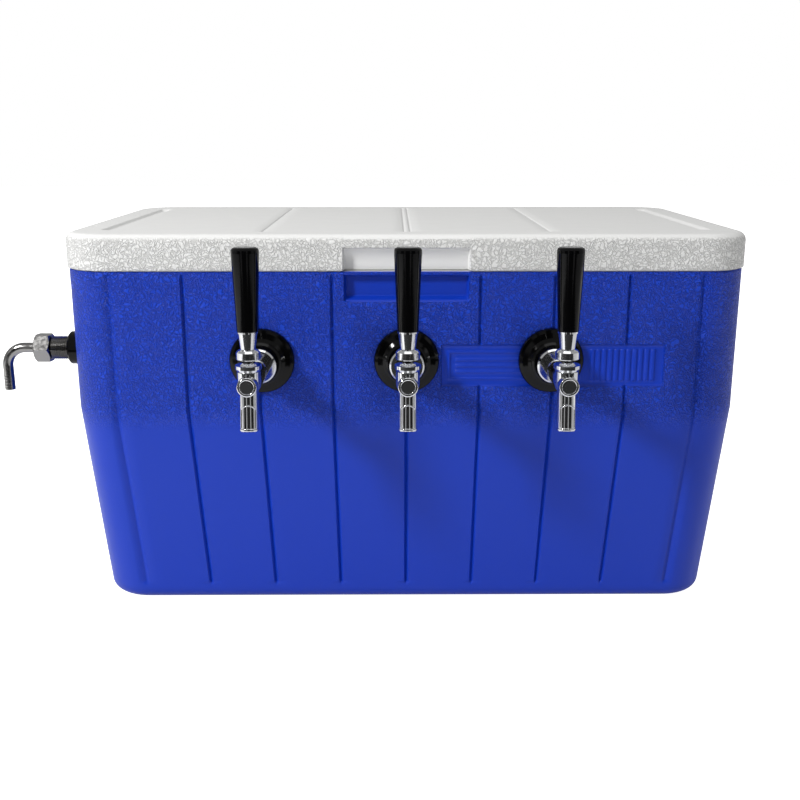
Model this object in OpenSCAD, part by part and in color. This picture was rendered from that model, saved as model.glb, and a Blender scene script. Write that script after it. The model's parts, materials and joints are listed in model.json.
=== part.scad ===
// Three-tap jockey box: an insulated chest with three beer faucets, cooling coils and one inlet.
// X runs to the right, Y to the back and Z up. The origin is the centre of the base.

/* [Chest] */
// Width of the chest at its rim
chest_w = 663; // [655:1:670]
// Depth of the chest at its rim
chest_d = 373; // [368:1:378]
// Height of the rim, where the lid rests
rim_z = 345; // [340:1:350]
// Height at which the walls start to taper inwards
bend_z = 205; // [195:5:225]
// How far each side has moved in at the base
foot_in = 16; // [12:1:20]
// Radius of the edge round the base
foot_r = 10; // [8:1:16]
// Radius of the upright corners
corner_r = 45; // [40:1:50]
// Thickness of the plastic skins
skin_t = 3; // [2.5:0.5:3.5]
// Thickness of the foam in the walls
foam_t = 24; // [22:1:26]

/* [Lid] */
// Height of the lid above the rim
lid_h = 35; // [33:1:36]
// How far the lid stands proud of the chest on each side
lid_over = 1.5; // [1:0.5:3]
// Radius of the lid's top edge
lid_edge_r = 8; // [6:1:10]
// Depth of the plug under the lid
plug_h = 10; // [8:1:14]

/* [Hand recesses] */
// Width of the finger recesses at the front
grip_w = 120; // [100:5:130]
// Depth of the finger recesses at the front
grip_d = 8; // [6:1:9]
// Width of the hand recesses in the ends
hand_w = 110; // [100:5:120]
// Depth of the hand recesses in the ends
hand_d = 16; // [12:1:18]

/* [Taps] */
// Distance between neighbouring taps
tap_pitch = 140; // [138:1:145]
// Height of the shank axis
tap_z = 259; // [254:1:260]
// Distance from the wall to the lever's pivot
lever_out = 93; // [88:1:96]
// Height of the lever's pivot above the shank axis
pivot_up = 11.5; // [11.5:0.1:11.8]
// Angle at which a closed handle leans back
lever_lean = 2; // [1:0.5:4]
// Length of a tap handle
handle_len = 73; // [65:1:80]
// Outer radius of a shank's thread
shank_r = 11.1; // [11:0.05:11.15]

/* [Inlet] */
// Distance of the inlet from the centre plane, towards the front
inlet_front = 124; // [119:1:124]
// Outer radius of the elbow tube
elbow_r = 5.2; // [5:0.1:5.3]
// Bend radius of the elbow, at the middle of the tube
elbow_bend = 19; // [17:1:21]

/* [Coils] */
// Radius of a coil, at the middle of its tube
coil_r = 60; // [56:1:61]
// Rise of a coil in one turn
coil_pitch = 16; // [14:1:18]
// Number of turns in a coil
coil_turns = 8; // [6:1:9]
// Outer radius of the coil tube
tube_r = 4.7; // [4.5:0.1:4.8]

/* [Hidden] */
$fn = 48;

// Walls
inner_off = skin_t + foam_t;
wall_t = inner_off + skin_t;
top_z = rim_z + lid_h;
lid_w = chest_w + 2 * lid_over;
lid_d = chest_d + 2 * lid_over;
past = 12;
corner_steps = 6;
round_angles = [0, 18, 36, 54, 72, 90];

// Finger and hand recesses
grip_low_z = rim_z - 28;
grip_top_z = rim_z - 2 * skin_t;
lid_grip_top_z = top_z - 13;
hand_low_z = 288;
hand_top_z = 322;

// Taps, with heights and distances from the shank axis and the wall
tap_x = [-tap_pitch, 0, tap_pitch];
wall_y = -chest_d / 2;
flange_t = 16;
nut_front = 29;
shank_front = 23;
shank_back = 57;
shank_bore_r = 4.8;
hole_r = 11.5;
barrel_r = 10.5;
chamber_r = 6.8;
button_out = lever_out + 17;
spout_lean = 9;
chamber_end = lever_out + 10;
slot_half = 2.9;
slot_front = 4.3;
flat_up = 3.4;
flat_from = lever_out - 8;
flat_to = lever_out + 10;
guide_r = 5.4;
seat_out = 36;
rod_r = 2.8;
ball_r = 6.5;
bonnet_low = 10.7;
collar_low = 9.9;
collar_h = 8.9;
ferrule_h = 15.7;
handle_low = collar_low + collar_h + ferrule_h;
stud_r = 4.7;

// Inlet, with distances from the end wall
end_x = -chest_w / 2;
inlet_z = tap_z;
inlet_boss = 12.5;
thread_end = 31;
thread_r = 11.9;
beer_nut_low = 31.5;
beer_nut_h = 16;
beer_nut_af = 27;
elbow_reach = 60;
elbow_drop = 25;

// Hinges
hinge_x = [-205, 205];
hinge_y = chest_d / 2 + lid_over + 5;
leaf_w = 50;
knuckle_r = 4.5;
knuckle_w = 24;
pin_r = 2;
screw_r = 1.8;
screw_dx = 15;
screw_len = 12;
body_screw_z = rim_z - 16;
lid_screw_z = rim_z + 16;

// Drain
drain_z = 52;
drain_wall = chest_w / 2 - foot_in * (bend_z - drain_z) / bend_z;
drain_r = 10;
plug_r = 7.95;

// Coils and their feed
floor_z = wall_t + 5;
coil_y = -41;
coil_x = [for (x = tap_x) x + coil_r];
coil_top_z = floor_z + coil_pitch * coil_turns;
step_angle = 22.5;
tube_sides = 8;
manifold_x = -258;
manifold_half = 12;
manifold_front = -147;
manifold_len = 76;
port_y = [-85, -109, -133];
port_nut_h = 12;
coil_ends = [
    [[-200, -101]],
    [[-200, -117], [10, -117]],
    [[-200, -133], [140, -133]]
];

// Shapes of the chest -------------------------------------------------------------------------

function taper(z) = z > bend_z ? 0 : foot_in * (bend_z - z) / bend_z;
function ring(hx, hy, r, z) = [
    for (c = [0 : 3], k = [0 : corner_steps])
        let (a = 90 * (c + k / corner_steps))
        let (sx = c == 0 || c == 3 ? 1 : -1)
        let (sy = c < 2 ? 1 : -1)
        [sx * (hx - r) + r * cos(a), sy * (hy - r) + r * sin(a), z]
];
function chest_ring(z, off, in) =
    ring(chest_w / 2 - off - in - taper(z), chest_d / 2 - off - in - taper(z),
         max(corner_r - off, 10) - in, z);

// A closed solid through a stack of rings, lowest first
module stack(rings) {
    n = len(rings[0]);
    top = len(rings) - 1;
    sides = [
        for (j = [0 : top - 1], i = [0 : n - 1])
            [j * n + i, (j + 1) * n + i, (j + 1) * n + (i + 1) % n, j * n + (i + 1) % n]
    ];
    base_face = [for (i = [0 : n - 1]) i];
    top_face = [for (i = [n - 1 : -1 : 0]) top * n + i];
    polyhedron(points = [for (r = rings) each r], faces = concat([base_face, top_face], sides));
}

// The chest's own form, moved in by off, up to the height z_top
module tub(off, z_top) {
    r = max(foot_r - off, 6);
    foot = [for (a = round_angles) chest_ring(off + r * (1 - cos(a)), off, r * (1 - sin(a)))];
    stack(concat(foot, [chest_ring(bend_z, off, 0), chest_ring(z_top, off, 0)]));
}

// An upright slab with the rim's outline, moved in by off
module rim_slab(off, z_low, z_high) {
    stack([chest_ring(z_low, off, 0), chest_ring(z_high, off, 0)]);
}

function lid_ring(z, off, in) =
    ring(lid_w / 2 - off - in, lid_d / 2 - off - in, corner_r + lid_over - off - in, z);

// The lid's own form, moved in by off
module cap(off, z_low) {
    r = lid_edge_r - off;
    edge = [for (a = round_angles) lid_ring(top_z - off - r * (1 - sin(a)), off, r * (1 - cos(a)))];
    stack(concat([lid_ring(z_low, off, 0)], edge));
}

// Recesses, each grown by the thickness of a skin where grow is not 0
module front_grip(grow) {
    translate([-grip_w / 2 - grow, wall_y - past, grip_low_z - grow])
        cube([grip_w + 2 * grow, past + grip_d + grow, grip_top_z - grip_low_z + 2 * grow]);
}

module end_grips(grow) {
    for (s = [-1, 1])
        translate([s * (chest_w / 2 + past) - (s > 0 ? past + hand_d + grow : 0),
                   -hand_w / 2 - grow, hand_low_z - grow])
            cube([past + hand_d + grow, hand_w + 2 * grow, hand_top_z - hand_low_z + 2 * grow]);
}

module lid_grip(grow) {
    translate([-grip_w / 2 - grow, -lid_d / 2 - past, rim_z - past])
        cube([grip_w + 2 * grow, past + grip_d + 1 + grow, lid_grip_top_z - rim_z + past + grow]);
}

// Places --------------------------------------------------------------------------------------

// Moves a shape whose +Z points out of the front wall to tap number i
module at_tap(i) {
    translate([tap_x[i], wall_y, tap_z]) rotate([90, 0, 0]) children();
}

// Moves a shape to the lever's pivot of tap number i, leaning as the closed lever does
module at_lever(i) {
    translate([tap_x[i], wall_y - lever_out, tap_z + pivot_up]) rotate([-lever_lean, 0, 0]) children();
}

// Moves a shape whose +Z points out of the left end to the inlet
module at_inlet() {
    translate([end_x, -inlet_front, inlet_z]) rotate([0, -90, 0]) children();
}

// Moves a shape whose +Z points out of the right end to the drain
module at_drain() {
    translate([drain_wall, 0, drain_z]) rotate([0, 90, 0]) children();
}

module wall_holes() {
    for (i = [0 : 2])
        at_tap(i) translate([0, 0, -2 * wall_t]) cylinder(h = 3 * wall_t, r = hole_r);
    at_inlet() translate([0, 0, -2 * wall_t]) cylinder(h = 3 * wall_t, r = hole_r);
    at_drain() translate([0, 0, -2 * wall_t]) cylinder(h = 3 * wall_t, r = drain_r);
}

module screw_holes(z, y) {
    for (x = hinge_x, s = [-1, 1])
        translate([x + s * screw_dx, y, z]) rotate([90, 0, 0]) cylinder(h = 2 * screw_len, r = screw_r);
}

module ring_solid(r_out, r_in, h) {
    difference() {
        cylinder(h = h, r = r_out);
        translate([0, 0, -1]) cylinder(h = h + 2, r = r_in);
    }
}

module hex_nut(af, r_in, h) {
    difference() {
        cylinder(h = h, r = af / sqrt(3), $fn = 6);
        translate([0, 0, -1]) cylinder(h = h + 2, r = r_in);
    }
}

// Chest ---------------------------------------------------------------------------------------

module outer_shell() {
    color("royalblue") difference() {
        union() {
            difference() {
                tub(0, rim_z);
                tub(skin_t, rim_z + past);
            }
            intersection() {
                tub(0, rim_z);
                front_grip(skin_t);
            }
            intersection() {
                tub(0, rim_z);
                end_grips(skin_t);
            }
        }
        front_grip(0);
        end_grips(0);
        wall_holes();
        screw_holes(body_screw_z, chest_d / 2 + screw_len);
    }
}

module insulation_foam() {
    color("khaki") difference() {
        tub(skin_t, rim_z - skin_t);
        tub(inner_off, rim_z + past);
        front_grip(skin_t);
        end_grips(skin_t);
        wall_holes();
        screw_holes(body_screw_z, chest_d / 2 + screw_len);
    }
}

module inner_liner() {
    color("whitesmoke") difference() {
        union() {
            tub(inner_off, rim_z);
            rim_slab(skin_t, rim_z - skin_t, rim_z);
        }
        tub(wall_t, rim_z + past);
        wall_holes();
    }
}

// Lid -----------------------------------------------------------------------------------------

module lid_shell() {
    color("lightgray") difference() {
        union() {
            difference() {
                cap(0, rim_z);
                cap(skin_t, rim_z - past);
            }
            intersection() {
                cap(0, rim_z);
                lid_grip(skin_t);
            }
        }
        lid_grip(0);
        screw_holes(lid_screw_z, lid_d / 2 + screw_len);
    }
}

// The pan under the lid that drops into the chest's mouth, moved in by off
module plug(off, z_low, z_high) {
    rim_slab(wall_t + 2 + off, z_low, z_high);
}

module lid_foam() {
    color("khaki") difference() {
        union() {
            cap(skin_t, rim_z + skin_t);
            plug(skin_t, rim_z - plug_h + skin_t, rim_z + skin_t);
        }
        lid_grip(skin_t);
        screw_holes(lid_screw_z, lid_d / 2 + screw_len);
    }
}

module lid_liner() {
    color("whitesmoke") difference() {
        union() {
            stack([lid_ring(rim_z, skin_t, 0), lid_ring(rim_z + skin_t, skin_t, 0)]);
            plug(0, rim_z - plug_h, rim_z + 1);
        }
        plug(skin_t, rim_z - plug_h + skin_t, rim_z + past);
        lid_grip(skin_t);
    }
}

// Hinges --------------------------------------------------------------------------------------

// One cylinder along X, centred on the hinge axis
module hinge_rod(x, w, r) {
    translate([x - w / 2, hinge_y, rim_z]) rotate([0, 90, 0]) cylinder(h = w, r = r);
}

module hinge_leaves_body() {
    color("silver") difference() {
        for (x = hinge_x) {
            translate([x - leaf_w / 2, chest_d / 2, rim_z - 26]) cube([leaf_w, 2.5, 20]);
            for (s = [-1, 1]) {
                hinge_rod(x + s * 19, 12, knuckle_r);
                translate([x + s * 19 - 6, chest_d / 2, rim_z - 8]) cube([12, 6, 7.5]);
            }
        }
        for (x = hinge_x) hinge_rod(x, leaf_w + 4, pin_r + 0.05);
        screw_holes(body_screw_z, chest_d / 2 + screw_len);
    }
}

module hinge_leaves_lid() {
    color("silver") difference() {
        for (x = hinge_x) {
            translate([x - leaf_w / 2, lid_d / 2, rim_z + 6]) cube([leaf_w, 2.5, 20]);
            hinge_rod(x, knuckle_w, knuckle_r);
            translate([x - knuckle_w / 2, lid_d / 2, rim_z + 0.5]) cube([knuckle_w, 4.5, 7.5]);
        }
        for (x = hinge_x) hinge_rod(x, leaf_w + 4, pin_r + 0.05);
        screw_holes(lid_screw_z, lid_d / 2 + screw_len);
    }
}

module hinge_pins() {
    color("gainsboro") for (x = hinge_x) hinge_rod(x, leaf_w + 2, pin_r);
}

// Pan-head screws through the leaves of both hinges
module leaf_screws(z, y) {
    for (x = hinge_x, s = [-1, 1])
        translate([x + s * screw_dx, y, z]) rotate([90, 0, 0]) {
            translate([0, 0, -1.8]) cylinder(h = 1.8, r1 = 2.4, r2 = 3.4);
            cylinder(h = screw_len, r = screw_r - 0.05);
        }
}

module hinge_screws_body() {
    color("gainsboro") leaf_screws(body_screw_z, chest_d / 2 + 2.5);
}

module hinge_screws_lid() {
    color("gainsboro") leaf_screws(lid_screw_z, lid_d / 2 + 2.5);
}

// Drain ---------------------------------------------------------------------------------------

module drain_spout() {
    color("white") difference() {
        at_drain() union() {
            translate([0, 0, -3]) cylinder(h = 6, r = 18);
            translate([0, 0, -wall_t - 12]) cylinder(h = wall_t + 20, r = drain_r - 0.1);
        }
        difference() {
            tub(0, rim_z);
            wall_holes();
        }
        at_drain() translate([0, 0, -2 * wall_t]) cylinder(h = 4 * wall_t, r = plug_r + 0.05);
    }
}

module drain_nut() {
    color("white") at_drain() translate([0, 0, -wall_t - 10]) hex_nut(32, drain_r, 6);
}

module drain_plug() {
    color("white") at_drain() {
        translate([0, 0, 8.3]) cylinder(h = 5, r = 12);
        translate([0, 0, 13.3]) cylinder(h = 3, r1 = 12, r2 = 9);
        translate([0, 0, -8]) cylinder(h = 17, r = plug_r);
    }
}

// Taps ----------------------------------------------------------------------------------------

module tap_flange(i) {
    color("#181818") at_tap(i) rotate_extrude() polygon([
        [shank_r + 0.1, 0], [31.5, 0], [31.5, 3], [30.6, 4.6], [28, 6], [23, 8],
        [20, 10], [20, flange_t - 2], [18, flange_t], [shank_r + 0.1, flange_t]
    ]);
}

module shank(i) {
    color("silver") at_tap(i) translate([0, 0, -shank_back])
        ring_solid(shank_r, shank_bore_r, shank_back + shank_front);
}

module coupling_nut(i) {
    color("gainsboro") at_tap(i) rotate_extrude() polygon([
        [shank_r + 0.1, flange_t], [15.5, flange_t], [16.5, flange_t + 1], [16.5, nut_front - 1.5],
        [15, nut_front], [barrel_r + 0.1, nut_front], [barrel_r + 0.1, nut_front - 2.5],
        [13.3, nut_front - 2.5], [13.3, shank_front - 0.5], [shank_r + 0.1, shank_front - 0.5]
    ]);
}

// The spout leans forward as it runs down from the barrel
module spout_rod(r, h) {
    translate([0, 0, lever_out + 2]) rotate([90 - spout_lean, 0, 0]) cylinder(h = h, r = r);
}

module faucet_body(i) {
    color("gainsboro") at_tap(i) difference() {
        union() {
            translate([0, 0, shank_front]) cylinder(h = 3.2, r = 13.2);
            translate([0, 0, shank_front]) cylinder(h = lever_out - shank_front, r = barrel_r);
            translate([0, 0, lever_out]) sphere(r = barrel_r);
            translate([0, 0, lever_out]) cylinder(h = button_out - lever_out, r = 8.75);
            translate([0, 0, lever_out]) rotate([-90, 0, 0]) cylinder(h = bonnet_low, r = 10.4);
            spout_rod(8.35, 42);
        }
        translate([0, 0, shank_front - 1]) cylinder(h = 12, r = chamber_r + 0.4);
        translate([0, 0, shank_front]) cylinder(h = 20, r = 4.6);
        translate([0, 0, seat_out]) cylinder(h = chamber_end - seat_out, r = chamber_r);
        translate([0, 0, lever_out]) cylinder(h = 20, r = guide_r + 0.08);
        translate([0, 0, lever_out]) rotate([-90, 0, 0]) cylinder(h = pivot_up, r = 5.6);
        translate([0, pivot_up, lever_out]) sphere(r = ball_r + 0.3);
        spout_rod(6.35, 50);
    }
}

module faucet_bonnet(i) {
    color("gainsboro") translate([tap_x[i], wall_y - lever_out, tap_z + pivot_up]) difference() {
        union() {
            translate([0, 0, bonnet_low - pivot_up]) cylinder(h = 2.8, r1 = 9.9, r2 = 11.7);
            translate([0, 0, bonnet_low - pivot_up + 2.8]) cylinder(h = 3, r = 11.7);
            intersection() {
                sphere(r = 9.6);
                cylinder(h = 12, r = 9.6);
            }
        }
        sphere(r = ball_r + 0.3);
        cylinder(h = 12, r = 6.1);
        translate([0, 0, -3]) cylinder(h = 3, r = ball_r + 0.3);
    }
}

module lever(i) {
    color("silver") at_lever(i) {
        sphere(r = ball_r);
        cylinder(h = collar_low + 0.5, r = 2.45);
        translate([0, 0, collar_low]) cylinder(h = handle_low - collar_low + 18, r = stud_r);
        translate([0, 0, -pivot_up]) cylinder(h = pivot_up, r = 2.3);
        translate([0, 0, -pivot_up]) sphere(r = 2.3);
    }
}

module lever_collar(i) {
    color("gainsboro") at_lever(i) translate([0, 0, collar_low]) rotate_extrude() polygon([
        [stud_r + 0.05, 0], [10.2, 0], [10.7, 0.6], [10.7, collar_h - 2.4], [9, collar_h - 0.6],
        [7.5, collar_h], [stud_r + 0.05, collar_h]
    ]);
}

module handle_ferrule(i) {
    color("gainsboro") at_lever(i) translate([0, 0, collar_low + collar_h]) difference() {
        union() {
            cylinder(h = ferrule_h - 1.4, r1 = 6.6, r2 = 8.4);
            translate([0, 0, ferrule_h - 1.4]) cylinder(h = 1.4, r = 9);
        }
        translate([0, 0, -1]) cylinder(h = ferrule_h + 2, r = stud_r + 0.05);
    }
}

module tap_handle(i) {
    color("#101010") at_lever(i) translate([0, 0, handle_low]) rotate_extrude() polygon([
        [stud_r + 0.05, 0], [9.1, 0], [9.3, 0.5], [12.2, handle_len - 5], [12.1, handle_len - 2.5],
        [11.2, handle_len - 0.8], [9.4, handle_len], [0, handle_len], [0, 19], [stud_r + 0.05, 19]
    ]);
}

// The rod that the lever pushes back to open the tap, flat on top where it passes under the ball
module faucet_shaft(i) {
    slot_out = lever_out + pivot_up * sin(lever_lean);
    color("silver") at_tap(i) difference() {
        union() {
            translate([0, 0, seat_out - 6]) cylinder(h = lever_out - seat_out, r = rod_r);
            translate([0, 0, lever_out - 9]) cylinder(h = button_out + 10 - lever_out, r = guide_r);
        }
        translate([-slot_half, -slot_half, slot_out - slot_half])
            cube([2 * slot_half, 12, 2 * slot_half]);
        translate([-slot_half, 0.5, slot_out - slot_half])
            cube([2 * slot_half, 12, slot_half + slot_front]);
        translate([-6, flat_up, flat_from]) cube([12, 12, flat_to - flat_from]);
    }
}

module shaft_seal(i) {
    color("#303030") at_tap(i) translate([0, 0, seat_out - 6]) ring_solid(6.6, rod_r + 0.02, 3.8);
}

module shank_washers() {
    color("silver") for (i = [0 : 2])
        at_tap(i) translate([0, 0, -wall_t - 2]) ring_solid(19, shank_r + 0.1, 2);
}

module shank_nuts() {
    color("silver") for (i = [0 : 2])
        at_tap(i) translate([0, 0, -wall_t - 10]) hex_nut(32, shank_r + 0.05, 8);
}

// A nut that holds a coil's end on a shank
module tube_nut(af, shank_part, h) {
    difference() {
        cylinder(h = h, r = af / sqrt(3), $fn = 6);
        translate([0, 0, -1]) cylinder(h = h + 2, r = tube_r + 0.05);
        translate([0, 0, h - shank_part]) cylinder(h = shank_part + 1, r = shank_r + 0.05);
    }
}

module coil_nuts() {
    color("gold") for (i = [0 : 2])
        at_tap(i) translate([0, 0, -shank_back - 6]) tube_nut(27, 10, 16);
}

// Coils ---------------------------------------------------------------------------------------

// Points of a corner rounded by a curve, from a to c past b
function bend(a, b, c, r) =
    let (p = b + r * (a - b) / norm(a - b))
    let (q = b + r * (c - b) / norm(c - b))
    [for (t = [0 : 0.25 : 1]) (1 - t) * (1 - t) * p + 2 * t * (1 - t) * b + t * t * q];
function rounded(path, r) =
    let (last = len(path) - 1)
    concat([path[0]], [for (i = [1 : last - 1]) each bend(path[i - 1], path[i], path[i + 1], r)],
           [path[last]]);

// The coil's turns, from the front at the floor to the left at the top
function coil_arc(i) = [
    for (a = [270 : step_angle : 180 + 360 * coil_turns])
        [coil_x[i] + coil_r * cos(a), coil_y + coil_r * sin(a),
         floor_z + coil_pitch * (a - 270) / 360]
];
function coil_feed(i) =
    let (x = manifold_x)
    let (top = [x, port_y[i], inlet_z - manifold_half])
    let (low = [x, port_y[i], floor_z])
    let (run = [for (p = coil_ends[i]) [p[0], p[1], floor_z]])
    rounded(concat([top, low], run, [[coil_x[i] - 8, coil_y - coil_r, floor_z]]), 18);
function coil_riser(i) =
    let (z = floor_z + coil_pitch * (coil_turns - 0.25))
    let (x = tap_x[i])
    let (last = wall_y + shank_back)
    rounded([[x, coil_y - 6, z], [x, coil_y - 30, z], [x, coil_y - 30, tap_z], [x, last, tap_z]], 18);
function coil_path(i) = concat(coil_feed(i), coil_arc(i), coil_riser(i));

function unit(v) = v / norm(v);
function heading(p, i) = unit(p[min(i + 1, len(p) - 1)] - p[max(i - 1, 0)]);
function across(n, t) = unit(n - (n * t) * t);

// A tube along the points of a path, carried along without twisting
module tube(path, r) {
    n = len(path);
    normals = [
        for (i = 0, u = across([0, 1, 0], heading(path, 0)); i < n;
             i = i + 1, u = i < n ? across(u, heading(path, i)) : u) u
    ];
    points = [
        for (i = [0 : n - 1], k = [0 : tube_sides - 1])
            let (a = 360 * k / tube_sides)
            path[i] + r * (cos(a) * normals[i] + sin(a) * cross(heading(path, i), normals[i]))
    ];
    walls = [
        for (j = [0 : n - 2], k = [0 : tube_sides - 1])
            let (m = (k + 1) % tube_sides)
            [j * tube_sides + k, (j + 1) * tube_sides + k, (j + 1) * tube_sides + m, j * tube_sides + m]
    ];
    first = [for (k = [0 : tube_sides - 1]) k];
    last = [for (k = [tube_sides - 1 : -1 : 0]) (n - 1) * tube_sides + k];
    polyhedron(points = points, faces = concat([first, last], walls));
}

module coil(i) {
    color("silver") tube(coil_path(i), tube_r);
}

module manifold() {
    color("silver") difference() {
        translate([manifold_x - manifold_half, manifold_front, inlet_z - manifold_half])
            cube([2 * manifold_half, manifold_len, 2 * manifold_half]);
        translate([manifold_x, manifold_front + 6, inlet_z]) rotate([-90, 0, 0])
            cylinder(h = manifold_len - 12, r = shank_bore_r + 0.6);
        at_inlet() translate([0, 0, end_x - manifold_x]) cylinder(h = 40, r = shank_bore_r);
        for (y = port_y)
            translate([manifold_x, y, inlet_z - 2 * manifold_half])
                cylinder(h = 2 * manifold_half, r = 3);
    }
}

module manifold_nuts() {
    color("gold") for (y = port_y)
        translate([manifold_x, y, inlet_z - manifold_half - port_nut_h])
            hex_nut(17, tube_r + 0.05, port_nut_h);
}

// Inlet ---------------------------------------------------------------------------------------

module inlet_flange() {
    color("#181818") at_inlet() rotate_extrude() polygon([
        [shank_r + 0.1, 0], [16.8, 0], [16.8, inlet_boss - 1.5], [15.3, inlet_boss],
        [shank_r + 0.1, inlet_boss]
    ]);
}

// Shank with a ridged thread on the part that shows
module inlet_shank() {
    ridges = 9;
    rise = (thread_end - inlet_boss) / ridges;
    ridge_points = [
        for (k = [0 : ridges - 1])
            each [[shank_r - 0.7, inlet_boss + rise * k], [thread_r, inlet_boss + rise * (k + 0.5)]]
    ];
    inner_end = manifold_x - manifold_half - end_x;
    color("silver") at_inlet() rotate_extrude() polygon(concat(
        [[shank_bore_r, -inner_end], [shank_r, -inner_end], [shank_r, inlet_boss - 0.2]],
        ridge_points,
        [[shank_r - 0.7, thread_end], [shank_bore_r, thread_end]]
    ));
}

module inlet_lock_nut() {
    color("silver") at_inlet() translate([0, 0, -wall_t - 8]) hex_nut(32, shank_r + 0.05, 8);
}

module inlet_beer_nut() {
    color("silver") at_inlet() translate([0, 0, beer_nut_low]) difference() {
        intersection() {
            rotate([0, 0, 30]) cylinder(h = beer_nut_h, r = beer_nut_af / sqrt(3), $fn = 6);
            union() {
                cylinder(h = 2.5, r1 = 13.4, r2 = 16.5);
                translate([0, 0, 2.5]) cylinder(h = beer_nut_h - 5, r = 16.5);
                translate([0, 0, beer_nut_h - 2.5]) cylinder(h = 2.5, r1 = 16.5, r2 = 13.4);
            }
        }
        translate([0, 0, -1]) cylinder(h = beer_nut_h + 2, r = elbow_r + 0.05);
    }
}

module inlet_elbow() {
    bore = elbow_r - 1;
    color("silver") at_inlet() {
        translate([0, 0, thread_end]) ring_solid(8.5, bore, beer_nut_low - thread_end);
        translate([0, 0, thread_end]) ring_solid(elbow_r, bore, elbow_reach - thread_end);
        translate([-elbow_bend, 0, elbow_reach]) rotate([-90, 0, 0]) rotate([0, 0, 270])
            rotate_extrude(angle = 90) translate([elbow_bend, 0]) difference() {
                circle(r = elbow_r);
                circle(r = bore);
            }
        translate([-elbow_bend - elbow_drop, 0, elbow_reach + elbow_bend]) rotate([0, 90, 0])
            ring_solid(elbow_r, bore, elbow_drop);
    }
}

// Nodes ---------------------------------------------------------------------------------------

outer_shell();
insulation_foam();
inner_liner();
hinge_leaves_body();
hinge_pins();
hinge_screws_body();
drain_spout();
drain_nut();
drain_plug();
tap_flange(0);  // tap_flange_left
tap_flange(1);  // tap_flange_centre
tap_flange(2);  // tap_flange_right
shank(0);  // shank_left
shank(1);  // shank_centre
shank(2);  // shank_right
coupling_nut(0);  // coupling_nut_left
coupling_nut(1);  // coupling_nut_centre
coupling_nut(2);  // coupling_nut_right
faucet_body(0);  // faucet_body_left
faucet_body(1);  // faucet_body_centre
faucet_body(2);  // faucet_body_right
faucet_bonnet(0);  // faucet_bonnet_left
faucet_bonnet(1);  // faucet_bonnet_centre
faucet_bonnet(2);  // faucet_bonnet_right
shank_washers();
shank_nuts();
coil_nuts();
coil(0);  // coil_left
coil(1);  // coil_centre
coil(2);  // coil_right
manifold();
manifold_nuts();
inlet_shank();
inlet_flange();
inlet_lock_nut();
inlet_beer_nut();
inlet_elbow();
lid_shell();
lid_foam();
lid_liner();
hinge_leaves_lid();
hinge_screws_lid();
lever(0);  // lever_left
lever(1);  // lever_centre
lever(2);  // lever_right
lever_collar(0);  // lever_collar_left
lever_collar(1);  // lever_collar_centre
lever_collar(2);  // lever_collar_right
handle_ferrule(0);  // handle_ferrule_left
handle_ferrule(1);  // handle_ferrule_centre
handle_ferrule(2);  // handle_ferrule_right
tap_handle(0);  // tap_handle_left
tap_handle(1);  // tap_handle_centre
tap_handle(2);  // tap_handle_right
faucet_shaft(0);  // faucet_shaft_left
faucet_shaft(1);  // faucet_shaft_centre
faucet_shaft(2);  // faucet_shaft_right
shaft_seal(0);  // shaft_seal_left
shaft_seal(1);  // shaft_seal_centre
shaft_seal(2);  // shaft_seal_right
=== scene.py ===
"""A three-tap jockey box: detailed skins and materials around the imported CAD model."""
import json
import math

import bpy
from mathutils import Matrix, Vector


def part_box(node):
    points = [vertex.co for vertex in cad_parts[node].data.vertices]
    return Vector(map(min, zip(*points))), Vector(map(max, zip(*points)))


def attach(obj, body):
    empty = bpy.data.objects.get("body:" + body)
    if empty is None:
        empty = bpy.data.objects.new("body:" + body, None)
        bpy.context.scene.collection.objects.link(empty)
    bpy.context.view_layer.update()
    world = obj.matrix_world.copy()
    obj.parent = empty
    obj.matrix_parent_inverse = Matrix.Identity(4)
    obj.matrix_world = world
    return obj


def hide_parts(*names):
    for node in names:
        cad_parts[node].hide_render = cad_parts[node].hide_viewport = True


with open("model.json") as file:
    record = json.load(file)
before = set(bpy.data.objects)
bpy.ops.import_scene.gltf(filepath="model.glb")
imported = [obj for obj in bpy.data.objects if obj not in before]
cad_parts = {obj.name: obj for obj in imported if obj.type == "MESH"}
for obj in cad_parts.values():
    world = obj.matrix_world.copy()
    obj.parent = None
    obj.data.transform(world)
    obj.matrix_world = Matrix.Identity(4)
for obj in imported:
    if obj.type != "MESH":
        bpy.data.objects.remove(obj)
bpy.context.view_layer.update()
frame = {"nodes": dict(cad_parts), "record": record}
nodes = frame["nodes"]

SIDES = ("left", "centre", "right")

# Places taken from the frame
shell_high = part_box("outer_shell")[1]
lid_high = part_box("lid_shell")[1]
RIM = shell_high.z
TOP = lid_high.z
SHELL_X, SHELL_Y = shell_high.x, shell_high.y
LID_X, LID_Y = lid_high.x, lid_high.y

# The camera, solved from the photograph's edges
CAMERA_LENS, CAMERA_SENSOR = 45.95, 36
CAMERA_PLACE = (-0.0123, -1.1554, 0.4737)
CAMERA_TILT, CAMERA_TURN = math.radians(75.27), math.radians(-0.35)

# The chest's form
BEND_Z = 0.205                            # the walls lean in below this height
FOOT_IN = 0.016                           # by this much at the floor
FOOT_R = 0.010
INNER_FOOT_R = 0.017
CORNER_R = 0.045
LEAST_CORNER_R = 0.010
SKIN = 0.003
RIM_ROUND = 0.0014                        # the rim's outer edge is rounded over this height
HAND_HALF, HAND_DEPTH = 0.055, 0.0155     # the hand recess in each end
HAND_Z, HAND_SOFT = (0.2885, 0.3215), 0.0015

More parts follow.
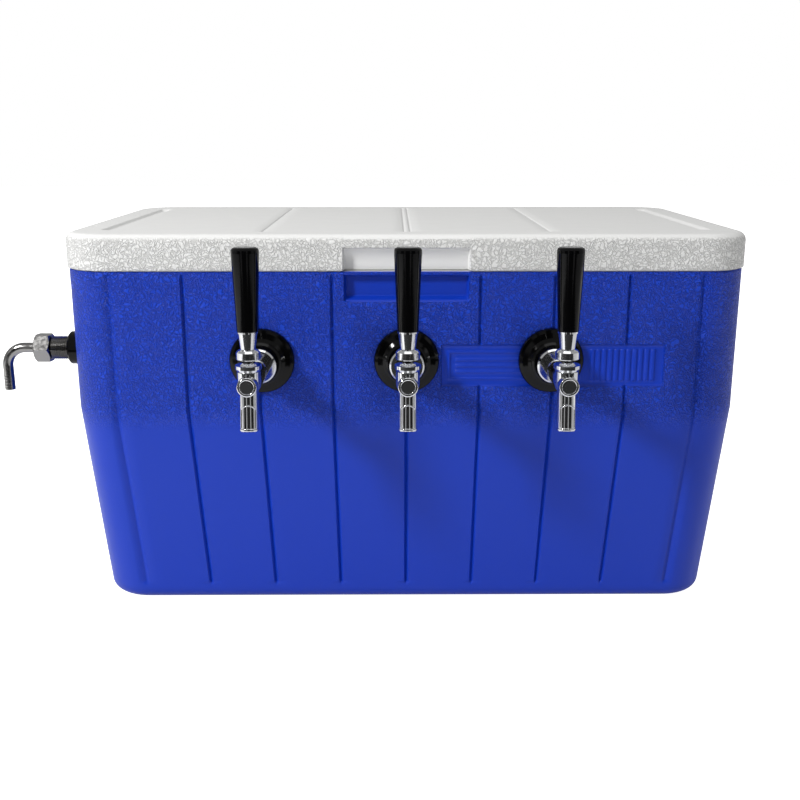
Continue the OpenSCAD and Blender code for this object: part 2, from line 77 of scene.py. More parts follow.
# Upright grooves; the outermost pair is wider, and all stop short of the rim and the finger recess
GROOVE_PITCH, GROOVE_COUNT = 0.0713, 9
GROOVE_HALF, OUTER_GROOVE_HALF, GROOVE_DEPTH = 0.0024, 0.0048, 0.0026
OUTER_GROOVE_FROM = 0.28
GROOVE_LOW, GROOVE_SOFT = 0.018, 0.0025
GROOVE_STOP, GRIP_GROOVE_STOP, GRIP_GROOVE_MARGIN = 0.0045, 0.0325, 0.006
ACROSS = (-1, -0.6, -0.25, 0, 0.25, 0.6, 1)     # grid lines across half a groove's width each way

# The finger recess under the lid: heights are measured down from the rim
GRIP_HALF, GRIP_DEPTH = 0.060, 0.0078
GRIP_EDGE, GRIP_SOFT = GRIP_HALF - 0.001, 0.0012
GRIP_SLOPE_FROM, GRIP_SLOPE = 0.0290, 0.006
GRIP_LIP_FROM, GRIP_LIP = 0.0052, 0.0024

# The sunk plaque (x0, x1, z0, z1) and the frame, bars and ribs that stand up in it
PLAQUE = (0.0340, 0.2504, 0.2333, 0.2735)
PLAQUE_DEPTH, PLAQUE_RAISED = 0.0021, 0.0011
PLAQUE_SOFT, DETAIL_SOFT, END_SOFT = 0.0009, 0.0006, 0.0008
FRAMES = ((0.006, 0.170, 0.0055), (0.0085, 0.1675, 0.008))    # left margin, right edge, z margin
BARS_X, BARS_UP, BAR_HIGH = (0.014, 0.162), (0.0125, 0.0185, 0.0245), 0.0028
RIB_FROM, RIB_TO, RIB_COUNT = 0.178, 0.243, 11
RIB_HALF, RIB_MARGIN = 0.0018, 0.0045

# Tap trim and hose ridges
SHANK_R = 0.0111
SPOUT_LEAN = math.radians(9)
SPOUT_R = 0.00835
SPOUT_BACK = 0.015                        # from the faucet's front face to the spout's axis
SPOUT_LIP_DROP, SPOUT_LIP_OUT, SPOUT_LIP_HALF = 0.0405, 0.0005, 0.0012
BUTTON_RING = (0.0059, 0.0087, 0.0009)    # inner radius, outer radius, height
RING_SUNK, ARCH_SUNK = 0.0002, 0.0001     # so that trim meets the face behind it
ARCH_R, ARCH_STEPS, ARCH_SWING, ARCH_SPREAD = 0.0007, 12, math.radians(48), 1.8
ARCH_TOP, ARCH_SHOULDER, ARCH_LEG, ARCH_TURN = 0.0175, 0.0035, 0.0170, 0.555
ELBOW_R = 0.0052
BARB_COUNT, BARB_FROM, BARB_PITCH = 5, 0.0015, 0.0031


# Camera ---------------------------------------------------------------------------------------

def make_camera():
    """The photograph's view: level horizon, looking down a little at the taps."""
    data = bpy.data.cameras.new("camera")
    data.lens = CAMERA_LENS
    data.sensor_width = CAMERA_SENSOR
    camera = bpy.data.objects.new("camera", data)
    camera.location = CAMERA_PLACE
    camera.rotation_euler = (CAMERA_TILT, 0, CAMERA_TURN)
    bpy.context.scene.collection.objects.link(camera)
    bpy.context.scene.camera = camera
    bpy.context.scene.view_settings.view_transform = "Standard"


# Materials ------------------------------------------------------------------------------------
# Noise and grain scales are features per metre; bump distances and mask edges are in metres.

CREASE_WARP = 0.016                       # how far noise bends the leather's creases
CREASE_WIDTH, CREASE_SHARE, FOLD_SHARE = 0.20, 0.75, 0.9
BLUE_GRAIN, BLUE_BUMP = 260.0, 0.0011
LID_GRAIN, LID_BUMP = 240.0, 0.0007
GRAIN_Z = (0.182, 0.216)                  # the chest's grain fades in between these heights
FOOT_SHADE_Z = (0.001, 0.016)                  # the chest's foot is darkened between these heights: painted shade
RECESS_FROM = 0.0012                      # a recess is smooth from this far behind the face
BLUE_RECESS_TO, LID_RECESS_TO = 0.012, 0.014
ROUGH_DRIFT = 0.08

class Shader:
    """A small helper that adds nodes to one material."""

    def __init__(self, name):
        self.material = bpy.data.materials.new(name)
        self.material.use_nodes = True
        self.tree = self.material.node_tree
        self.bsdf = self.tree.nodes["Principled BSDF"]
        places = self.add("ShaderNodeTexCoord").outputs
        self.coords, self.facing = places["Object"], places["Normal"]

    def add(self, kind, **settings):
        node = self.tree.nodes.new(kind)
        for key, value in settings.items():
            if key.startswith("in_"):
                node.inputs[key[3:].replace("_", " ")].default_value = value
            else:
                setattr(node, key, value)
        return node

    def link(self, source, target):
        self.tree.links.new(source, target)

    def set(self, **values):
        for key, value in values.items():
            self.bsdf.inputs[key.replace("_", " ")].default_value = value

    def noise(self, scale, detail=4.0, roughness=0.55, vector=None):
        node = self.add("ShaderNodeTexNoise", in_Scale=scale, in_Detail=detail,
                        in_Roughness=roughness)
        self.link(vector or self.coords, node.inputs["Vector"])
        return node.outputs["Fac"]

    def ramp(self, source, low, high, to_low=0.0, to_high=1.0):
        node = self.add("ShaderNodeMapRange", interpolation_type="SMOOTHSTEP")
        node.inputs["From Min"].default_value = low
        node.inputs["From Max"].default_value = high
        node.inputs["To Min"].default_value = to_low
        node.inputs["To Max"].default_value = to_high
        self.link(source, node.inputs["Value"])
        return node.outputs["Result"]

    def math(self, kind, a, b):
        node = self.add("ShaderNodeMath", operation=kind)
        for socket, value in zip(node.inputs, (a, b)):
            if isinstance(value, (int, float)):
                socket.default_value = value
            else:
                self.link(value, socket)
        return node.outputs["Value"]

    def mix(self, factor, low, high):
        node = self.add("ShaderNodeMix", data_type="RGBA")
        self.link(factor, node.inputs["Factor"])
        for socket, value in ((node.inputs["A"], low), (node.inputs["B"], high)):
            if isinstance(value, tuple):
                socket.default_value = value
            else:
                self.link(value, socket)
        return node.outputs["Result"]

    def colour(self, source):
        self.link(source, self.bsdf.inputs["Base Color"])

    def roughness(self, source):
        self.link(source, self.bsdf.inputs["Roughness"])

    def bump(self, height, distance, strength=1.0):
        node = self.add("ShaderNodeBump")
        node.inputs["Strength"].default_value = strength
        node.inputs["Distance"].default_value = distance
        self.link(height, node.inputs["Height"])
        self.link(node.outputs["Normal"], self.bsdf.inputs["Normal"])

    def axis(self, source, name):
        node = self.add("ShaderNodeSeparateXYZ")
        self.link(source, node.inputs["Vector"])
        return node.outputs[name]


def leather(shader, scale):
    """Crinkled leather grain: short bent creases of several sizes."""
    warp = shader.add("ShaderNodeTexNoise", in_Scale=scale * 0.5, in_Detail=3.0)
    shader.link(shader.coords, warp.inputs["Vector"])
    bent = shader.add("ShaderNodeVectorMath", operation="MULTIPLY_ADD")
    shader.link(warp.outputs["Color"], bent.inputs[0])
    bent.inputs[1].default_value = (CREASE_WARP, CREASE_WARP, CREASE_WARP)
    shader.link(shader.coords, bent.inputs[2])
    cells = shader.add("ShaderNodeTexVoronoi", feature="DISTANCE_TO_EDGE", in_Scale=scale)
    shader.link(bent.outputs["Vector"], cells.inputs["Vector"])
    creases = shader.ramp(cells.outputs["Distance"], 0.0, CREASE_WIDTH)
    folds = shader.noise(scale * 1.3, 4.0, 0.6, bent.outputs["Vector"])
    return shader.math("ADD", shader.math("MULTIPLY", creases, CREASE_SHARE),
                       shader.math("MULTIPLY", folds, FOLD_SHARE))


def creased(shader, height, amount):
    """1 on smooth plastic and on the raised grain, lower in its creases, where painted shade darkens
    the colour.
    """
    # painted shade: the grain's creases are darkened in the base colour
    crease_shade = shader.math("MULTIPLY", shader.ramp(height, 0.45, 1.15, 1.0, 0.0), amount)
    return shader.math("SUBTRACT", 1.0, crease_shade)


def between(shader, source, low, high, soft):
    """1 where a coordinate lies between low and high, 0 elsewhere."""
    rise = shader.ramp(source, low - soft, low + soft)
    fall = shader.ramp(source, high - soft, high + soft, 1.0, 0.0)
    return shader.math("MULTIPLY", rise, fall)


def in_recess(shader, face, to):
    """1 on the walls of a finger recess in the face at y = -face, 0 elsewhere."""
    deep = between(shader, shader.axis(shader.coords, "Y"), -face + RECESS_FROM, -face + to, 0.0003)
    wide = between(shader, shader.axis(shader.coords, "X"), -GRIP_HALF, GRIP_HALF, 0.0005)
    return shader.math("MULTIPLY", deep, wide)


def blue_shell():
    """Blue plastic: leather grain above the bend, smooth below, in the recess and on the plaque;
    painted shade in the grain's creases and at the foot, painted highlights on the raised grain.
    """
    s = Shader("blue moulded shell")
    s.set(Specular_IOR_Level=0.28)
    height = s.axis(s.coords, "Z")
    fade = s.ramp(height, *GRAIN_Z)
    upright = s.ramp(s.math("ABSOLUTE", s.axis(s.facing, "Z"), 0.0), 0.25, 0.6, 1.0, 0.0)
    across = s.axis(s.coords, "X")
    deep = s.axis(s.coords, "Y")
    sunk = in_recess(s, SHELL_Y, BLUE_RECESS_TO)
    panel = s.math("MULTIPLY", between(s, across, PLAQUE[0], PLAQUE[1], DETAIL_SOFT),
                   between(s, height, PLAQUE[2], PLAQUE[3], DETAIL_SOFT))
    front = s.ramp(deep, -0.05, 0.0, 1.0, 0.0)
    smooth = s.math("MAXIMUM", sunk, s.math("MULTIPLY", panel, front))
    amount = s.math("MULTIPLY", s.math("MULTIPLY", fade, upright), s.math("SUBTRACT", 1.0, smooth))
    skin = leather(s, BLUE_GRAIN)
    # painted shade in the grain's creases, plus random tone
    tone = s.math("SUBTRACT", creased(s, skin, amount), s.math("MULTIPLY", s.noise(3.0, 2.0), 0.15))
    # painted shade: the colour darkens towards the floor at the chest's foot
    shaded_tone = s.math("SUBTRACT", tone, s.ramp(height, *FOOT_SHADE_Z, 1.6, 0.0))
    plain = s.mix(shaded_tone, (0.0032, 0.028, 0.335, 1), (0.0036, 0.033, 0.390, 1))
    # painted highlights: the raised grain is lightened in the base colour
    crest_highlights = s.math("MULTIPLY", s.ramp(skin, 0.95, 1.40), amount)
    s.colour(s.mix(crest_highlights, plain, (0.0052, 0.053, 0.560, 1)))
    grain = s.math("MULTIPLY", skin, amount)
    pits = s.math("MULTIPLY", s.noise(900.0, 2.0), 0.05)
    s.bump(s.math("ADD", grain, pits), BLUE_BUMP)
    s.roughness(s.ramp(s.noise(60.0), 0.2, 0.8, 0.28, 0.36))
    return s.material


def grey_lid():
    """Light grey plastic: leather grain on the lid's sides, smooth on top and in the recess; painted
    shade in the grain's creases.
    """
    s = Shader("light grey moulded lid")
    s.set(Specular_IOR_Level=0.4)
    sunk = in_recess(s, LID_Y, LID_RECESS_TO)
    side = s.math("MULTIPLY", s.ramp(s.axis(s.facing, "Z"), 0.35, 0.8, 1.0, 0.0),
                  s.math("SUBTRACT", 1.0, sunk))
    skin = leather(s, LID_GRAIN)
    # painted shade in the grain's creases, plus random tone
    tone = s.math("SUBTRACT", creased(s, skin, side), s.math("MULTIPLY", s.noise(5.0, 2.0), 0.08))
    s.colour(s.mix(tone, (0.50, 0.50, 0.49, 1), (0.69, 0.69, 0.68, 1)))
    grain = s.math("MULTIPLY", skin, side)
    pits = s.math("MULTIPLY", s.noise(700.0, 2.0), 0.04)
    s.bump(s.math("ADD", grain, pits), LID_BUMP)
    s.roughness(s.ramp(s.noise(40.0), 0.2, 0.8, 0.46, 0.56))
    return s.material


def plain_plastic(name, low, high, rough, grain_scale, grain_depth, gloss=0.4):
    """Plastic of one colour with a fine even grain."""
    s = Shader(name)
    s.set(Specular_IOR_Level=gloss)
    s.colour(s.mix(s.noise(12.0, 2.0), low, high))
    s.roughness(s.ramp(s.noise(45.0), 0.2, 0.8, rough, rough + ROUGH_DRIFT))
    s.bump(s.noise(grain_scale, 3.0), grain_depth, 0.6)
    return s.material


def metal(name, tint_low, tint_high, rough, rough_spread, scratch):
    """Metal with drifting roughness and faint marks."""
    s = Shader(name)
    s.set(Metallic=1.0)
    worn = s.noise(260.0, 4.0, 0.6)
    s.colour(s.mix(s.noise(30.0, 2.0), tint_low, tint_high))
    s.roughness(s.ramp(worn, 0.3, 0.7, rough, rough + rough_spread))
    s.bump(worn, scratch, 0.5)
    return s.material


def foam_material():
    """Cream foam with open cells."""
    s = Shader("insulation foam")
    cells = s.add("ShaderNodeTexVoronoi", in_Scale=420.0)
    s.link(s.coords, cells.inputs["Vector"])
    s.colour(s.mix(cells.outputs["Distance"], (0.60, 0.53, 0.33, 1), (0.76, 0.70, 0.50, 1)))
    s.set(Roughness=0.9)
    s.bump(cells.outputs["Distance"], 0.0006, 0.8)
    return s.material


def rubber():
    """Matt black rubber."""
    s = Shader("black rubber")
    s.colour(s.mix(s.noise(20.0), (0.012, 0.012, 0.012, 1), (0.022, 0.022, 0.022, 1)))
    s.roughness(s.ramp(s.noise(120.0), 0.3, 0.7, 0.62, 0.78))
    s.bump(s.noise(800.0), 0.0002, 0.6)
    return s.material


MATERIALS = {
    "blue_shell": blue_shell(),
    "grey_lid": grey_lid(),
    "liner_white": plain_plastic("white liner", (0.70, 0.70, 0.68, 1), (0.76, 0.76, 0.74, 1),
                                 0.32, 500.0, 0.0001),
    "foam": foam_material(),
    "black_plastic": plain_plastic("gloss black plastic", (0.0008, 0.0008, 0.0010, 1),
                                   (0.0014, 0.0014, 0.0016, 1), 0.07, 160.0, 0.00004, 0.20),
    "chrome": metal("polished chrome", (0.66, 0.67, 0.69, 1), (0.74, 0.745, 0.76, 1),
                    0.04, 0.05, 0.00001),
    "stainless": metal("satin stainless steel", (0.24, 0.237, 0.233, 1), (0.32, 0.316, 0.31, 1),
                       0.13, 0.14, 0.00004),
    "brass": metal("turned brass", (0.62, 0.44, 0.18, 1), (0.74, 0.56, 0.27, 1),
                   0.20, 0.12, 0.00004),
    "rubber": rubber(),
    "white_plastic": plain_plastic("white drain plastic", (0.66, 0.66, 0.65, 1),
                                   (0.72, 0.72, 0.71, 1), 0.42, 600.0, 0.0001),
}


# Mesh helpers ---------------------------------------------------------------------------------

SHARP_ANGLE = 38                          # degrees between faces that makes a crisp edge
LEAST_GAP = 0.00025                       # closest that two grid lines may lie


def smoothstep(t):
    """0 below 0, 1 above 1, with a smooth rise between."""
    t = min(max(t, 0.0), 1.0)
    return t * t * (3 - 2 * t)


def inside(x, low, high, soft):
    """1 between low and high, 0 outside, with soft edges that are soft wide on each side."""
    rise = smoothstep((x - low + soft) / (2 * soft))
    fall = smoothstep((high + soft - x) / (2 * soft))
    return rise * fall


def near(edge, soft):
    """Grid lines that follow one soft edge."""
    return [edge + soft * k for k in (-1.0, -0.5, 0.0, 0.5, 1.0)]


def filled(lines, low, high, gap):
    """The lines between low and high, sorted, with more lines wherever a gap is too wide."""
    picked = sorted({round(v, 6) for v in lines if low < v < high} | {low, high})
    close = [picked[0]]
    for v in picked[1:]:
        if v - close[-1] > LEAST_GAP:
            close.append(v)
    close[-1] = high
    out = [close[0]]
    for v in close[1:]:
        parts = max(1, math.ceil((v - out[-1]) / gap))
        start = out[-1]
        out.extend(start + (v - start) * k / parts for k in range(1, parts + 1))
    return out


def marks(lines, straight, steps):
    """Grid lines as parameters: the straight part is -1 to 1, a corner is 1 to 2 either way."""
    corner = [k / steps for k in range(1, steps + 1)]
    middle = [v / straight for v in lines]
    return [-1 - c for c in reversed(corner)] + middle + [1 + c for c in corner]


def pad_point(px, py, hx, hy, r):
    """The point of a rounded rectangle's grid at parameters px and py."""
    u, v = max(abs(px) - 1, 0.0), max(abs(py) - 1, 0.0)
    sx, sy = math.copysign(1, px), math.copysign(1, py)
    x = max(-1.0, min(1.0, px)) * (hx - r) + sx * r * u * math.sqrt(1 - v * v / 2)
    y = max(-1.0, min(1.0, py)) * (hy - r) + sy * r * v * math.sqrt(1 - u * u / 2)
    return x, y


def border(xs, ys):
    """Index pairs round the grid's edge, front first, anticlockwise seen from above."""
    nx, ny = len(xs) - 1, len(ys) - 1
    return ([(i, 0) for i in range(nx)] + [(nx, j) for j in range(ny)]
            + [(i, ny) for i in range(nx, 0, -1)] + [(0, j) for j in range(ny, 0, -1)])


def outward(px, py):
    """Unit vector out of the outline at a point on its edge, in plan."""
    u, v = max(abs(px) - 1, 0.0), max(abs(py) - 1, 0.0)
    if u and v:
        nx = math.copysign(u * math.sqrt(1 - v * v / 2), px)
        ny = math.copysign(v * math.sqrt(1 - u * u / 2), py)
    elif abs(py) == 2:
        nx, ny = 0.0, math.copysign(1, py)
    else:
        nx, ny = math.copysign(1, px), 0.0
    size = math.hypot(nx, ny)
    return nx / size, ny / size


def along(px, py, hx, r):
    """Distance along the front or back face from its middle, wrapped round the corners."""
    nx, ny = outward(px, py)
    if abs(px) <= 1:
        return px * (hx - r)
    return math.copysign(hx - r + r * math.atan2(abs(nx), abs(ny)), px)


def make_object(name, vertices, faces, material):
    """A smooth-shaded mesh object with crisp edges."""
    mesh = bpy.data.meshes.new(name)
    mesh.from_pydata(vertices, [], faces)
    mesh.materials.append(material)
    mesh.update()
    mesh.shade_smooth()
    mesh.set_sharp_from_angle(angle=math.radians(SHARP_ANGLE))
    obj = bpy.data.objects.new(name, mesh)
    bpy.context.scene.collection.objects.link(obj)
    return obj


def skin_solid(name, xs, ys, outer_rows, inner_rows, outer_cap, inner_cap, material):
    """A closed thin solid: rows run from the cap's edge to the rim, outside and then back inside."""
    edge = border(xs, ys)
    count = len(edge)
    vertices = [p for row in outer_rows for p in row]
    vertices += [p for row in reversed(inner_rows) for p in row]
    row_total = len(outer_rows) + len(inner_rows)
    faces = []
    for j in range(row_total - 1):
        for k in range(count):
            m = (k + 1) % count
            here, below = j * count, (j + 1) * count
            faces.append((here + k, here + m, below + m, below + k))
    for cap, row, flip in ((outer_cap, 0, True), (inner_cap, row_total - 1, False)):
        index = {pair: row * count + k for k, pair in enumerate(edge)}
        for i in range(1, len(xs) - 1):
            for j in range(1, len(ys) - 1):
                index[(i, j)] = len(vertices)
                vertices.append(cap(xs[i], ys[j]))
        for i in range(len(xs) - 1):
            for j in range(len(ys) - 1):
                corners = ((i, j), (i + 1, j), (i + 1, j + 1), (i, j + 1))
                quad = tuple(index[corner] for corner in corners)
                faces.append(tuple(reversed(quad)) if flip else quad)
    return make_object(name, vertices, faces, material)


# Chest shell ----------------------------------------------------------------------------------

GROOVES = [(k - GROOVE_COUNT // 2) * GROOVE_PITCH for k in range(GROOVE_COUNT)]
RIBS = [RIB_FROM + (RIB_TO - RIB_FROM) * (k + 0.5) / RIB_COUNT for k in range(RIB_COUNT)]


def groove_half(g):
    """Half the width of the groove at g."""
    return OUTER_GROOVE_HALF if abs(g) > OUTER_GROOVE_FROM else GROOVE_HALF


def groove_depth(s, z, front):
    """Depth of the upright grooves at a distance s along the face."""
    depth = 0.0
    for g in GROOVES:
        t = abs(s - g) / groove_half(g)
        if t < 1:
            depth = GROOVE_DEPTH * (1 - smoothstep(t))
    top = RIM - GROOVE_STOP
    if front and abs(s) < GRIP_HALF + GRIP_GROOVE_MARGIN:
        top = RIM - GRIP_GROOVE_STOP
    window = inside(z, GROOVE_LOW, top, GROOVE_SOFT)
    if front:
        x0, x1, z0, z1 = PLAQUE
        window *= 1 - inside(s, x0, x1, 0.001) * inside(z, z0, z1, 0.001)
    return depth * window


def plaque_depth(x, z):
    """The plaque: a sunk field with a raised frame and bars on its left and ribs on its right."""
    x0, x1, z0, z1 = PLAQUE
    field = inside(x, x0, x1, PLAQUE_SOFT) * inside(z, z0, z1, PLAQUE_SOFT)
    if field == 0:
        return 0.0
    outer, inner = (inside(x, x0 + left, right, DETAIL_SOFT) * inside(z, z0 + m, z1 - m, DETAIL_SOFT)
                    for left, right, m in FRAMES)
    bars = sum(inside(z, z0 + c, z0 + c + BAR_HIGH, DETAIL_SOFT) for c in BARS_UP)
    bars *= inside(x, x0 + BARS_X[0], BARS_X[1], END_SOFT)
    ribs = sum(inside(x, r - RIB_HALF, r + RIB_HALF, DETAIL_SOFT) for r in RIBS)
    ribs *= inside(z, z0 + RIB_MARGIN, z1 - RIB_MARGIN, END_SOFT)
    raised = min(1.0, outer - inner + bars + ribs)
    return PLAQUE_DEPTH * field - PLAQUE_RAISED * raised


def wall_depth(px, py, z):
    """How far the chest's surface lies inside its plain outline, at one place."""
    ny = outward(px, py)[1]
    if abs(ny) > 0.01:
        s = along(px, py, SHELL_X, CORNER_R)
        front = ny < 0
        depth = groove_depth(s, z, front)
        if front:
            slope = smoothstep((z - (RIM - GRIP_SLOPE_FROM)) / GRIP_SLOPE)
            lip = 1 - smoothstep((z - (RIM - GRIP_LIP_FROM)) / GRIP_LIP)
            grip = inside(s, -GRIP_EDGE, GRIP_EDGE, GRIP_SOFT) * slope * lip
            depth = max(depth, GRIP_DEPTH * grip)
            depth += plaque_depth(s, z)
        return depth
    y = py * (SHELL_Y - CORNER_R)
    return (HAND_DEPTH * inside(y, -HAND_HALF, HAND_HALF, HAND_SOFT)
            * inside(z, HAND_Z[0], HAND_Z[1], HAND_SOFT))


def taper(z):
    """How far the walls lean in at a height."""
    return 0.0 if z > BEND_Z else FOOT_IN * (BEND_Z - z) / BEND_Z


def chest_outline(z, off, tuck):
    """Half sizes and corner radius at a height, moved in by off, and by tuck to round the foot."""
    inset = off + tuck + taper(z)
    return SHELL_X - inset, SHELL_Y - inset, max(CORNER_R - off, LEAST_CORNER_R) - tuck


def chest_row(xs, ys, z, off, tuck, cut):
    """One ring of the chest at a height; cut is 1 with the grooves and recesses and 0 without."""
    hx, hy, r = chest_outline(z, off, tuck)
    row = []
    for i, j in border(xs, ys):
        x, y = pad_point(xs[i], ys[j], hx, hy, r)
        nx, ny = outward(xs[i], ys[j])
        depth = wall_depth(xs[i], ys[j], z) * cut
        row.append((x - nx * depth, y - ny * depth, z))
    return row


def chest_cap(z, off, tuck):
    """A function that places a point of the flat bottom at a height."""
    hx, hy, r = chest_outline(z, off, tuck)

    def point(px, py):
        x, y = pad_point(px, py, hx, hy, r)
        return x, y, z
    return point


def make_shell():
    """The chest's blue skin, which stands for the CAD's outer shell."""
    straight_x, straight_y = SHELL_X - CORNER_R, SHELL_Y - CORNER_R
    x0, x1, z0, z1 = PLAQUE

    x_lines = [g + groove_half(g) * k for g in GROOVES for k in ACROSS]
    x_lines += near(-GRIP_EDGE, GRIP_SOFT) + near(GRIP_EDGE, GRIP_SOFT)
    x_lines += near(x0, PLAQUE_SOFT) + near(x1, PLAQUE_SOFT)
    edges = [x0 + BARS_X[0], BARS_X[1]]
    for left, right, _ in FRAMES:
        edges += [x0 + left, right]
    for rib in RIBS:
        edges += [rib - RIB_HALF, rib + RIB_HALF]
    for edge in edges:
        x_lines += near(edge, DETAIL_SOFT)
    xs = marks(filled(x_lines, -straight_x, straight_x, 0.012), straight_x, 8)

    y_lines = near(-HAND_HALF, HAND_SOFT) + near(HAND_HALF, HAND_SOFT)
    ys = marks(filled(y_lines, -straight_y, straight_y, 0.014), straight_y, 8)

    z_lines = near(HAND_Z[0], HAND_SOFT) + near(HAND_Z[1], HAND_SOFT) + near(GROOVE_LOW, GROOVE_SOFT)
    z_lines += near(z0, PLAQUE_SOFT) + near(z1, PLAQUE_SOFT)
    margins = [RIB_MARGIN] + [m for _, _, m in FRAMES]
    edges = [z0 + m for m in margins] + [z1 - m for m in margins]
    for c in BARS_UP:
        edges += [z0 + c, z0 + c + BAR_HIGH]
    for edge in edges:
        z_lines += near(edge, DETAIL_SOFT)
    slope_lines = (0.0350, 0.0325, 0.0300, 0.0290, 0.0275, 0.0260, 0.0245, 0.0230)
    lip_lines = (0.0070, 0.0052, 0.0045, 0.0040, 0.0034, 0.0028, 0.0020)
    z_lines += [RIM - v for v in slope_lines + lip_lines]
    z_lines += [BEND_Z + v for v in (-0.01, -0.004, 0, 0.004, 0.01)]
    levels = filled(z_lines, FOOT_R, RIM - RIM_ROUND, 0.011)

    foot = [(1 - math.cos(a), 1 - math.sin(a)) for a in map(math.radians, range(0, 90, 9))]
    outer = [chest_row(xs, ys, FOOT_R * up, 0, FOOT_R * back, 1) for up, back in foot]
    outer += [chest_row(xs, ys, z, 0, 0, 1) for z in levels]
    outer.append(chest_row(xs, ys, RIM - 0.0004, 0.0004, 0, 0))
    outer.append(chest_row(xs, ys, RIM, RIM_ROUND, 0, 0))
    inner = [chest_row(xs, ys, SKIN + INNER_FOOT_R * up, SKIN, INNER_FOOT_R * back, 1)
             for up, back in foot]
    inner += [chest_row(xs, ys, z, SKIN, 0, 1) for z in levels]
    inner.append(chest_row(xs, ys, RIM, SKIN - 0.0001, 0, 0))
    shell = skin_solid("chest_shell_skin", xs, ys, outer, inner, chest_cap(0, 0, FOOT_R),
                       chest_cap(SKIN, SKIN, INNER_FOOT_R), MATERIALS["blue_shell"])
    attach(shell, "cooler")
    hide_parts("outer_shell")


# Lid ------------------------------------------------------------------------------------------

LID_R = CORNER_R + LID_X - SHELL_X
EDGE_R = 0.0085
SKIRT_GAP = 0.0009                        # the skirt's lower edge stands this far above the rim
SLOT_X, SLOT_Y, SLOT_DEPTH = (0.2895, 0.3000), 0.137, 0.0024
SLOT_SOFT, SLOT_END_SOFT = 0.0022, 0.003
LINES_X, LINES_Y = (-0.1400, -0.0020, 0.0040, 0.1400), 0.157
LINE_HALF, LINE_DEPTH, LINE_END_SOFT = 0.0020, 0.0011, 0.002
GATE_MARKS = ((-0.192, 0.009), (0.177, 0.002), (-0.318, -0.098), (0.318, -0.098))
GATE_R, GATE_DEPTH = 0.0018, 0.0012
LID_GRIP_TOP = 0.0120                     # the finger recess starts this far below the lid's top
LID_LIP, LID_LIP_DEPTH = 0.0022, 0.0035
LID_SLOPE, LID_SLOPE_DEPTH = 0.0085, 0.0053


def lid_top_depth(x, y):
    """Depth of the slots, lines and gate marks in the lid's top."""
    slot = inside(abs(x), SLOT_X[0], SLOT_X[1], SLOT_SOFT) * inside(abs(y), -1, SLOT_Y, SLOT_END_SOFT)
    depth = SLOT_DEPTH * slot
    for line in LINES_X:
        t = abs(x - line) / LINE_HALF
        if t < 1:
            depth += LINE_DEPTH * (1 - smoothstep(t)) * inside(abs(y), -1, LINES_Y, LINE_END_SOFT)
    for gx, gy in GATE_MARKS:
        t = math.hypot(x - gx, y - gy) / GATE_R
        if t < 1:
            depth += GATE_DEPTH * (1 - smoothstep(t))
    return depth


def lid_grip_depth(down):
    """How far the finger recess is cut in at a height below its top: a lip, a slope, then a flat."""
    slope = min(1.0, max(0.0, (down - LID_LIP) / LID_SLOPE))
    return LID_LIP_DEPTH * smoothstep(down / LID_LIP) + LID_SLOPE_DEPTH * slope


def lid_outline(inset):
    """Half sizes and corner radius of the lid, moved in by an inset."""
    return LID_X - inset, LID_Y - inset, LID_R - inset


def lid_row(xs, ys, z, off, tuck):
    """One ring of the lid at a height, moved in by off and by tuck for the edge's rounding."""
    hx, hy, r = lid_outline(off + tuck)
    row = []
    for i, j in border(xs, ys):
        x, y = pad_point(xs[i], ys[j], hx, hy, r)
        nx, ny = outward(xs[i], ys[j])
        depth = 0.0
        if ny < -0.99:
            soft = inside(x, -GRIP_HALF, GRIP_HALF, GRIP_SOFT)
            depth = soft * lid_grip_depth(TOP - LID_GRIP_TOP - z)
        row.append((x - nx * depth, y - ny * depth, z))
    return row


def lid_cap(z, off, tuck, cut):
    """A function that places a point of the lid's top; cut is 1 with the slots and 0 without."""
    hx, hy, r = lid_outline(off + tuck)

    def point(px, py):
        x, y = pad_point(px, py, hx, hy, r)
        return x, y, z - cut * lid_top_depth(x, y)
    return point


